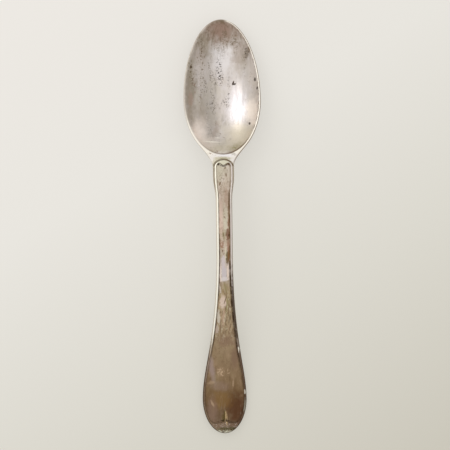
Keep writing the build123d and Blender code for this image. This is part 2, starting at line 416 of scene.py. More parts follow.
def makeBowl(form):
    flareTurn = np.arccos(flareAt / form["back"])
    edge = form["edgePoints"]
    rest = form["flarePoints"] + form["tonguePoints"]
    onEgg = np.linspace(0, flareTurn, edge, endpoint=False)
    angle = np.concatenate([onEgg, np.linspace(flareTurn, pi, rest)])
    egg, inner = eggHalf(belly, angle), eggHalf(hollow, angle)

    # the outline leaves the egg at the flare, runs down the neck and ends inside the stem
    sweep = egg[edge] - egg[edge - 1]
    sweep *= (flareAt - footAt) / abs(sweep[1])
    foot, tongue = (form["neckHalf"], footAt), (form["neckTongue"], footAt - form["tongueStep"])
    corner = (form["neckTongue"], footAt - form["tongueDepth"])
    outline = np.concatenate([
        egg[:edge],
        hermite(egg[edge], sweep, foot, (0, footAt - flareAt), form["flarePoints"]),
        np.linspace(foot, tongue, 2, endpoint=False),
        np.linspace(tongue, corner, 2, endpoint=False),
        np.linspace(corner, (0, corner[1]), form["tonguePoints"] - 4),
    ])

    rings, wearAndLightRows, within, lips, edges = [], [], [], [], []

    # lip marks the hollow's edge and outer the rim's outer edge, where the shader lays painted shade
    def ring(half, level, wearAndEdgeLight=0.0, inside=0.0, lip=0.0, outer=0.0):
        level = np.broadcast_to(level, len(half))
        points = fromRim(wholeLoop(np.column_stack([half, level])))
        points[:, 2] = np.maximum(points[:, 2], 0)  # the flat that the table has worn
        rings.append(points)
        wearAndLightRows.append(np.full(len(points), wearAndEdgeLight))
        within.append(np.full(len(points), inside))
        lips.append(np.full(len(points), lip))
        edges.append(np.full(len(points), outer))

    r = form["rimRound"]
    shelf, lip = insetHalf(outline, r + form["rimFlat"]), insetHalf(inner, -r - form["rimFlat"])
    for s in np.linspace(0, form["bellyReach"], form["bellyRings"])[1:]:
        ring(egg * s, turnedLevel(belly, egg[:, 0] * s, egg[:, 1] * s))
    ring(insetHalf(outline, 0.02), -form["sheet"] - 0.01, 0.3)
    ring(outline, -form["sheet"] + 0.1, 0.3)
    ring(outline, -r - 0.08, 0.5)
    for turn in np.linspace(0, pi / 2, 5):
        ring(insetHalf(outline, r * (1 - cos(turn))), -r * (1 - sin(turn)), 1.0, sin(turn), 0.0, 1.0)
    for s in (0, 0.4, 0.75, 1):
        ring(shelf * (1 - s) + lip * s, 0, 1.0, 1.0, 0.0, float(s == 0))
    ring(insetHalf(inner, -r), 0, 1.0, 1.0)
    ring(insetHalf(inner, -0.45 * r), -0.1 * r, 1.0, 1.0)
    ring(inner, -0.45 * r, 0.3, 1.0, 1.0)
    for s in (0.985, 0.965, *np.linspace(form["hollowReach"], 0, form["hollowRings"])[:-1]):
        ring(inner * s, turnedLevel(hollow, inner[:, 0] * s, inner[:, 1] * s), 0.0, 1.0, float(s > 0.98))

    size = len(rings[0])
    points = np.concatenate(rings + [fromRim([(0, 0, -form["depth"]), (0, 0, -rise)])])
    points[:, 2] = np.maximum(points[:, 2], 0)
    under, inside = len(points) - 2, len(points) - 1
    last = (len(rings) - 1) * size
    faces = []
    for i in range(size):
        j = (i + 1) % size
        faces += [(k + i, k + j, k + size + j, k + size + i) for k in range(0, last, size)]
        faces += [(under, j, i), (inside, last + i, last + j)]
    masks = dict(wearAndEdgeLight=wearAndLightRows + [(0, 0)], inside=within + [(0, 1)], lip=lips + [(0, 0)], outer=edges + [(0, 0)])
    masks = {name: np.concatenate(values) for name, values in masks.items()}
    return newPiece("silverBowl", points, faces, masks)


bowlFinish = dict(
    gloss=0.3, dents=0.1, hollowEdgeShade=0.6, edge=0.75,  # the last two are shares of the painted shade along the hollow's edge and on the rim's outer edge
    stainsAndPaintedLight=(
        mark(-4.2, 42.0, 2.6, 15.0, "leadGrey", 0.35, grain=0.5, fade=0.7, dull=0.1),
        # painted highlight: a lilac tint over the place of the bright reflection right of the middle
        mark(5.5, 42.0, 4.5, 10.0, "lilac", 0.6, grain=0.4, ragged=0.6, fade=0.6, dull=0.0),
        mark(-10.8, 47.5, 1.8, 11.0, "edgeOlive", 0.6, grain=0.6, ragged=0.8, fade=0.8, dull=0.3),
        # painted highlight on the right wall, beside the reflection
        mark(10.3, 38.8, 1.9, 4.6, (250, 236, 222), 0.95, grain=0.5, ragged=0.7, fade=0.6, dull=0.0),
        mark(10.6, 50.0, 1.6, 7.0, "palePink", 0.5, grain=0.5, ragged=0.7, fade=0.7, dull=0.0),
        mark(4.8, 52.6, 2.6, 3.8, (176, 168, 160), 0.4, grain=0.6, ragged=0.7, fade=0.7, dull=0.2),
        # painted highlight: the pale core of the reflection
        mark(5.4, 40.2, 2.6, 5.2, (230, 226, 230), 0.5, grain=0.6, ragged=0.5, fade=0.6, dull=0.0),
        # painted reflection: the heel is lighter towards the right
        mark(6.8, 30.2, 4.6, 4.2, (220, 208, 184), 0.8, grain=0.4, fade=0.7, dull=0.1),
        mark(0.0, 24.6, 7.5, 3.2, "straw", 0.6, grain=0.4, fade=0.7, dull=0.2),
        # painted highlights on the left of the heel
        mark(-7.8, 32.0, 2.3, 4.6, (246, 233, 222), 0.95, turn=18, grain=0.7, fade=0.6, dull=0.0),
        mark(-5.4, 28.2, 2.8, 2.6, (232, 219, 206), 0.75, grain=0.7, fade=0.7, dull=0.0),
        mark(0.7, 57.4, 4.2, 5.5, (224, 218, 216), 0.85, grain=0.5, ragged=0.7, fade=0.7, dull=0.1),
        mark(-0.5, 67.6, 9.5, 5.4, "haze", 0.85, grain=0.6, ragged=0.9, fade=0.7, dull=0.6),
        mark(-6.8, 59.4, 2.4, 3.6, (146, 124, 102), 0.35, grain=0.8, ragged=0.8, fade=0.8, dull=0.2),
        mark(-6.6, 38.0, 2.0, 4.6, (150, 132, 114), 0.35, grain=0.6, ragged=0.6, fade=0.8, dull=0.2),
        mark(-6.4, 62.5, 1.8, 5.0, "edgeOlive", 0.4, turn=-28, grain=1.0, ragged=1.2, fade=0.8),
        mark(-7.5, 61.5, 1.0, 5.0, "tipOlive", 0.8, turn=-24, grain=1.0, ragged=1.0, specks=1.7),
        mark(6.8, 59.0, 2.8, 5.0, (166, 148, 132), 0.5, turn=20, grain=0.6, ragged=1.0, fade=0.7),
        mark(0.0, 67.0, 3.0, 3.0, (150, 120, 104), 0.6, grain=0.8, ragged=0.9, fade=0.6),
        mark(-1.0, 71.0, 7.0, 2.2, "tipOlive", 0.85, grain=0.8, ragged=0.7, fade=0.5),
        mark(0.5, 63.5, 8.0, 6.0, "tipOlive", 0.6, grain=0.8, ragged=1.2, specks=1.9),
        mark(-0.4, 52.6, 1.1, 4.2, "pit", 0.95, turn=-11, grain=3.0, ragged=0.7, specks=2.0),
        mark(-3.5, 47.0, 2.6, 7.5, "pit", 0.65, grain=1.0, ragged=1.2, specks=2.0),
        mark(-3.4, 36.5, 1.6, 7.5, "pit", 0.7, grain=1.0, ragged=1.0, specks=2.1),
        mark(1.2, 43.0, 1.1, 7.0, "pit", 0.7, turn=6, grain=1.0, ragged=1.1, specks=1.8),
        mark(-5.5, 54.0, 3.0, 4.0, "tipOlive", 0.55, grain=1.2, ragged=1.2, specks=1.6),
        mark(-3.6, 36.0, 2.0, 7.0, "leadGrey", 0.4, turn=4, grain=0.8, ragged=1.2, fade=0.9, dull=0.2),
        mark(-2.0, 33.0, 0.9, 2.6, "haze", 0.35, turn=20, grain=1.2, ragged=1.2, fade=0.9, dull=0.2),
        mark(4.1, 48.8, 0.28, 0.75, "umber", 0.95, turn=20, grain=2.5, ragged=0.3),
        mark(4.5, 48.4, 0.5, 0.3, "pit", 0.9, turn=-25, grain=2.5, ragged=0.3),
        mark(-10.3, 53.9, 0.36, 0.4, "umber", 0.95, grain=2.5),
        mark(11.2, 49.5, 0.32, 0.6, "pit", 0.9, grain=2.5),
        mark(11.9, 46.5, 0.32, 0.5, "pit", 0.8, grain=2.5),
        mark(9.2, 34.6, 0.32, 0.45, "pit", 0.9, grain=2.5),
        mark(-10.0, 51.5, 1.0, 4.8, "tipOlive", 0.85, turn=-10, grain=1.4, ragged=0.8, specks=1.6),
        mark(-9.3, 46.8, 1.4, 3.0, "haze", 0.9, turn=15, grain=1.6, ragged=1.0, specks=1.2),
        mark(-10.5, 43.0, 0.8, 2.4, "rose", 0.5, grain=1.2, ragged=0.8),
        mark(8.6, 58.6, 0.8, 2.4, "tipOlive", 0.5, turn=22, grain=2.0, ragged=1.3, fade=0.6),
        mark(8.8, 59.3, 1.0, 2.8, "pit", 0.85, turn=25, grain=2.0, ragged=0.7, specks=1.9),
        mark(4.4, 26.9, 2.0, 1.3, "smudge", 0.85, grain=1.6, ragged=0.9, specks=1.5),
        mark(4.4, 26.5, 2.2, 1.2, "olive", 0.45, turn=-20, grain=0.8, ragged=0.9, fade=0.7),
        mark(-3.9, 28.5, 2.7, 0.22, "cream", 0.6, turn=3, grain=1.0, fade=0.7, dull=0.0),
        mark(-1.7, 29.9, 0.7, 0.2, "cream", 0.5, turn=3, grain=1.0, fade=0.7, dull=0.0),
    ),
    neck=(  # laid over the rubbed rim
        mark(0.0, 22.6, 5.5, 2.2, (234, 228, 222), 0.85, grain=0.8, ragged=0.4, fade=0.4),
        mark(0.5, 23.7, 2.2, 0.5, (236, 232, 234), 0.7, grain=0.8, ragged=0.6, fade=0.6, dull=0.0),
        mark(0.0, 22.7, 2.4, 0.55, (176, 168, 128), 0.7, grain=1.2, ragged=0.6, fade=0.6),
        mark(-2.9, 21.4, 0.7, 1.6, (206, 198, 172), 0.7, turn=20, grain=1.2, ragged=0.6, fade=0.6),
        mark(-3.4, 24.6, 2.2, 1.0, "haze", 0.75, turn=-20, grain=2.0, ragged=0.8, specks=1.7),
        mark(3.0, 24.4, 1.5, 0.5, "leadGrey", 0.5, turn=25, grain=2.0, ragged=0.9),
    ),
)


def bowlSilver(finish):
    material, tree, place = newMaterial("bowlSilver")
    inside, wearAndEdgeLight, lip, outer = (attribute(tree, name) for name in ("inside", "wearAndEdgeLight", "lip", "outer"))
    split = put(tree, "ShaderNodeSeparateXYZ", {0: place}).outputs
    colour = tint(tree, mottle(tree, place, (0.16, 0.12, 0.16), 0.35, 0.65), "warmGrey", "roseGrey")
    streaks = mottle(tree, place, (0.9, 0.12, 0.9), 0.46, 0.72)
    colour = tint(tree, times(tree, streaks, 0.5), colour, "leadGrey")
    bare = mottle(tree, place, (0.7, 0.35, 0.7), 0.5, 0.72)
    colour = tint(tree, times(tree, bare, 0.55), colour, "lilac")
    fine = specks(tree, place, 1.6, 0.57)
    grain = times(tree, fine, mottle(tree, place, (0.25, 0.12, 0.25), 0.4, 0.62))
    colour = tint(tree, times(tree, grain, 0.6), colour, "brown")
    # the back has patches of tarnish, and the hollow the stains that use has left, with painted highlights
    # and a painted reflection among them
    patches = mottle(tree, place, (0.22, 0.1, 0.22), 0.5, 0.68)
    behind = tint(tree, times(tree, patches, 0.6), colour, "haze")
    colour, dull = layStainsAndPaintedLight(tree, place, colour, times(tree, streaks, 0.2), finish["stainsAndPaintedLight"])
    colour = tint(tree, inside, behind, colour)
    combed = mottle(tree, place, (1.5, 0.13, 1.5), 0.48, 0.66)
    combed = times(tree, combed, between(tree, split["Y"], 54.0, 64.0))
    colour = tint(tree, times(tree, times(tree, combed, 0.5), inside), colour, "tipOlive")
    lines = most(tree, scratches(tree, place, 12, 5.0), scratches(tree, place, -38, 6.0))
    colour = tint(tree, times(tree, lines, 0.25), colour, "rimCream")
    # the rim is rubbed bright, except at the tip and down the left, and painted shade darkens its outer edge
    # on the right
    leftUp = times(tree, between(tree, split["X"], -4.0, -8.0), between(tree, split["Y"], 33.0, 40.0))
    bright = between(tree, split["Y"], 69.5, 64.0, 0.1, 0.85)
    bright = most(tree, bright, between(tree, split["X"], 0.5, 2.5, 0.0, 0.85))
    rubbed = times(tree, wearAndEdgeLight, bright)
    rubbed = times(tree, rubbed, minus(tree, 1, times(tree, leftUp, 0.85)))
    colour = tint(tree, rubbed, colour, "rimCream")
    neckColour, dull = layStainsAndPaintedLight(tree, place, colour, dull, finish["neck"])
    colour = tint(tree, inside, colour, neckColour)
    right = between(tree, split["X"], 2.0, 5.0)
    edge = times(tree, between(tree, outer, 0.3, 0.9), right)
    colour = tint(tree, times(tree, edge, finish["edge"]), colour, "brown")
    # painted shade lies along the hollow's edge, in the corner at the heel and in a broken line up the right
    # side
    heel = times(tree, between(tree, split["Y"], 33.0, 26.0), between(tree, split["X"], -7.0, 4.0, 0.35, 1.0))
    broken = times(tree, right, mottle(tree, place, (0.9, 0.5, 0.9), 0.4, 0.6))
    corner = most(tree, times(tree, heel, 0.85), times(tree, broken, finish["hollowEdgeShade"]))
    colour = tint(tree, times(tree, lip, corner), colour, "brown")
    dents = noiseAt(tree, place, 0.14, 2.0)
    height = minus(tree, dents, times(tree, plus(tree, lines, fine), 0.04))
    gloss = plus(tree, times(tree, streaks, 0.1), finish["gloss"])
    finishSilver(tree, colour, dull, gloss, height, finish["dents"])
    return material


bowl = makeBowl(bowlForm)
bowl.data.materials.append(bowlSilver(bowlFinish))


# stem: the right half of its outline is shared by its mesh and by the thread border
stemForm = dict(
    shoulderHalf=3.45, shoulderLength=4.9, shoulderSlope=9.7,
    waistHalf=2.65, waistFromEnd=62.0,
    flank=((42.0, 3.5), (26.0, 5.625)),  # place from the end, half width
    spatulaHalf=7.425, spatulaRound=11.5,
    face=((62.0, 11.4), (32.0, 6.2), (11.0, 1.55), (0.0, 2.2)),  # place from the end, height
    back=((62.0, 8.8), (32.0, 4.2), (11.0, -0.05), (0.0, 0.9)),
    endSlope=-0.0818, upperCheek=1.12, lowerCheek=2.17,
    dropLength=8.5, dropStand=0.92, dropSide=6.0, dropNose=2.6, dropBlend=0.7,
    backRound=0.8, faceRound=0.12,
    archSink=0.3, seatLevel=-2.0, seatSink=0.3,  # how far its front ends reach into the bowl
    archPoints=40, sidePoints=6, slopePoints=22, waistPoints=14, flankPoints=46, endPoints=60,
)
archY = rimY + archAt * cos(tilt)
archFootY = archY - bowlForm["archRise"]
shoulderY = archY - stemForm["shoulderLength"]
waistY = shoulderY - stemForm["shoulderSlope"]
waistEndY = endY + stemForm["waistFromEnd"]
spatulaY = endY + stemForm["spatulaRound"]
noseY = rimY + (stemForm["dropLength"] - bowlForm["back"]) * cos(tilt)


def flankHalf():
    knots = [(spatulaY, stemForm["spatulaHalf"])]
    knots += [(endY + place, half) for place, half in reversed(stemForm["flank"])]
    knots += [(waistEndY, stemForm["waistHalf"])]
    return splineThrough(*zip(*knots), 0, 0)


def stemHalf(front):
    # right half of the stem's outline, behind a front that is the arch or the drop
    half, waist, spatula = stemForm["shoulderHalf"], stemForm["waistHalf"], stemForm["spatulaHalf"]
    slopeTurn = (0, -1.5 * stemForm["shoulderSlope"])
    down = np.linspace(waistEndY, spatulaY, stemForm["flankPoints"], endpoint=False)
    turn = np.linspace(0, pi / 2, stemForm["endPoints"])
    end = np.stack([spatula * np.cos(turn), spatulaY - stemForm["spatulaRound"] * np.sin(turn)], axis=1)
    outline = np.concatenate([
        front,
        np.linspace((half, archFootY), (half, shoulderY), stemForm["sidePoints"], endpoint=False),
        hermite((half, shoulderY), slopeTurn, (waist, waistY), slopeTurn, stemForm["slopePoints"]),
        np.linspace((waist, waistY), (waist, waistEndY), stemForm["waistPoints"], endpoint=False),
        np.stack([flankHalf()(down), down], axis=1),
        end,
    ])
    outline[[0, -1], 0] = 0
    return outline


def archFront():
    turn = np.linspace(pi / 2, 0, stemForm["archPoints"], endpoint=False)
    up = archFootY + bowlForm["archRise"] * np.sin(turn)
    return np.stack([stemForm["shoulderHalf"] * np.cos(turn), up], axis=1)


def dropFront():
    foot = (stemForm["shoulderHalf"], archFootY)
    across, down = (3 * stemForm["dropNose"], 0), (0, -3 * stemForm["dropSide"])
    return hermite((0, noseY), across, foot, down, stemForm["archPoints"])


def rimPlace(y, level):
    return (y - rimY - level * sin(tilt)) / cos(tilt)


def faceHeight(y):
    level = stemForm["upperCheek"]
    footY = rimY + footAt * cos(tilt) + level * sin(tilt)
    straight = rimZ - rimPlace(y, level) * sin(tilt) + level * cos(tilt)
    footZ = rimZ - footAt * sin(tilt) + level * cos(tilt)
    knots = sorted([(endY + place, height) for place, height in stemForm["face"]] + [(footY, footZ)])
    handle = splineThrough(*zip(*knots), stemForm["endSlope"], -tan(tilt))
    return np.where(y > footY, straight, handle(np.minimum(y, footY)))


def backHeight(y):
    heel = -stemForm["lowerCheek"]
    level = np.full(len(y), heel)
    for _ in range(4):
        drop = turnedLevel(belly, 0, np.minimum(rimPlace(y, level), 0), stemForm["dropStand"])
        level = softMin(heel, drop, stemForm["dropBlend"])
    straight = rimZ - rimPlace(y, level) * sin(tilt) + level * cos(tilt)
    footY = rimY + footAt * cos(tilt) + heel * sin(tilt)
    footZ = rimZ - footAt * sin(tilt) + heel * cos(tilt)
    knots = sorted([(endY + place, height) for place, height in stemForm["back"]] + [(footY, footZ)])
    handle = splineThrough(*zip(*knots), stemForm["endSlope"], -tan(tilt))
    return np.maximum(np.where(y > footY, straight, handle(np.minimum(y, footY))), 0)


# thread border: its inner edge has two lobes at the arch, and two lobes and a rib at the handle's end
threadForm = dict(
    ledge=0.12, shoulderLedge=0.42,  # from the stem's edge to the thread
    width=0.65, height=0.35, edgeRound=0.33, sink=0.1, sectionPoints=7,
    dip=2.1, lobe=1.4, lobeHalf=1.6,  # measured from the top of the arch
    endLobe=3.4, endLobeHalf=2.9, endCusp=4.5, cornerTurn=35.0,  # measured from the handle's end
    ribReach=8.0, ribBack=1.2, ribGirth=0.45, ribSink=0.3, ribTaper=0.6, ribPoints=14, ribSides=14,
)


def threadEdge(width):
    # the stem's outline moved inwards by the ledge, which is wider at the shoulder
    half = stemHalf(archFront())
    share = np.clip((half[:, 1] - waistY) / (shoulderY - waistY), 0, 1)
    share = share ** 2 * (3 - 2 * share)
    ledge = threadForm["ledge"] * (1 - share) + threadForm["shoulderLedge"] * share
    return insetHalf(half, (ledge + width)[:, None])


def panelHalf():
    # right half of the panel inside the thread, with as many points as the stem's outline
    form = threadForm
    half = threadEdge(form["width"])
    arch, end = stemForm["archPoints"], stemForm["endPoints"]
    side = half[arch]
    lobe = (form["lobeHalf"], archY - form["lobe"])
    share = arch // 2
    rise = lobe[1] - side[1]
    half[:share] = hermite((0, archY - form["dip"]), (lobe[0], 0), lobe, (1.2 * lobe[0], 0), share)
    half[share:arch] = hermite(lobe, (1.2 * (side[0] - lobe[0]), 0), side, (0, -1.6 * rise), arch - share)
    # the lower corner follows the thread for a while, then turns in to the lobe
    lobe = (form["endLobeHalf"], endY + form["endLobe"])
    cusp = (0, endY + form["endCusp"])
    corner, share = round(end * form["cornerTurn"] / 90), end * 2 // 5
    leave = half[corner - end]
    reach = 1.5 * (leave[0] - lobe[0])
    onward = (leave - half[corner - end - 1]) / np.linalg.norm(leave - half[corner - end - 1])
    half[corner - end:-share] = hermite(leave, onward * reach, lobe, (-reach, 0), end - share - corner)
    half[-share - 1:-1] = hermite(lobe, (-lobe[0], 0), cusp, (-0.25, 2.2 * (cusp[1] - lobe[1])), share)
    half[-1] = cusp
    return half


def seatUnder(half):
    # level of the bowl's underside above the drop's outline
    place = np.clip(rimPlace(half[:, 1], stemForm["seatLevel"]), -bowlForm["back"], 0)
    return np.minimum(-bowlForm["sheet"], turnedLevel(belly, half[:, 0], place))


def makeStem(form):
    upper, lower, panel = stemHalf(archFront()), stemHalf(dropFront()), panelHalf()
    rows, grooveDirtAndShade, wearAndLightRows = [], [], []

    # the first mask marks the grooves, for tarnish and painted shade, the second the rounded edges, for
    # painted highlight and shade
    def row(half, height, dirtAndShade=0.0, wearAndEdgeLight=0.0):
        rows.append(np.column_stack([half, height]))
        grooveDirtAndShade.append(np.full(len(half), dirtAndShade))
        wearAndLightRows.append(np.full(len(half), wearAndEdgeLight))

    def across(half, height, shares, dirtAndShade=0.0):
        for share in shares:
            row(half * (share, 1), height, dirtAndShade * (share == 1))

    # face: a ladder across the panel, then rings towards the thread and the edge
    middle = insetHalf(panel, 0.62)
    across(middle, faceHeight(middle[:, 1]), (0, 0.3, 0.6, 0.85, 1), 0.3)
    for inset, dirtAndShade in ((0.4, 0.6), (0.22, 0.8), (0.1, 1.0), (0.0, 1.0)):
        half = insetHalf(panel, inset)
        row(half, faceHeight(half[:, 1]), dirtAndShade)
    half = insetHalf(upper, form["faceRound"] + 0.06)
    row(half, faceHeight(half[:, 1]), 1.0)
    for turn in np.linspace(pi / 2, 0, 4):
        half = insetHalf(upper, form["faceRound"] * (1 - cos(turn)))
        row(half, faceHeight(half[:, 1]) - form["faceRound"] * (1 - sin(turn)), 0.5, 1.0)

    # wall: the arch ends inside the bowl's neck, and the drop begins inside the bowl's wall
    top, bottom = faceHeight(upper[:, 1]), backHeight(lower[:, 1])
    wallTop, wallFoot = bottom + 0.6 * (top - bottom), bottom + 0.5 * (top - bottom)
    arch = slice(0, form["archPoints"])
    level = np.full(form["archPoints"], -form["archSink"])
    wallTop[arch] = fromRim(np.column_stack([upper[arch, 0], rimPlace(upper[arch, 1], level), level]))[:, 2]
    seat = seatUnder(lower[arch]) + form["seatSink"]
    wallFoot[arch] = fromRim(np.column_stack([lower[arch, 0], rimPlace(lower[arch, 1], seat), seat]))[:, 2]
    row(upper, wallTop, 0.3)
    row(lower, wallFoot, 0.3)

    # back: a rounded edge, then a ladder across
    reach = np.minimum(form["backRound"], 0.8 * (wallFoot - bottom))
    for turn in np.linspace(0, pi / 2, 7):
        half = insetHalf(lower, (reach * (1 - cos(turn)))[:, None])
        row(half, np.maximum(backHeight(half[:, 1]) + reach * (1 - sin(turn)), 0), 0.1, 0.6)
    half = insetHalf(lower, (reach + 0.08)[:, None])
    across(half, backHeight(half[:, 1]), (1, 0.7, 0.35, 0))

    # close the right side and its mirror image
    count = len(upper)
    right = np.concatenate(rows)
    points = np.concatenate([right, right * (-1, 1, 1)])
    faces = []
    for side in (0, len(right)):
        for k in range(len(rows) - 1):
            for i in range(count - 1):
                a = side + k * count + i
                faces.append((a, a + 1, a + count + 1, a + count))
    masks = dict(grooveDirtAndShade=np.tile(np.concatenate(grooveDirtAndShade), 2), wearAndEdgeLight=np.tile(np.concatenate(wearAndLightRows), 2))
    return newPiece("silverStem", points, faces, masks)


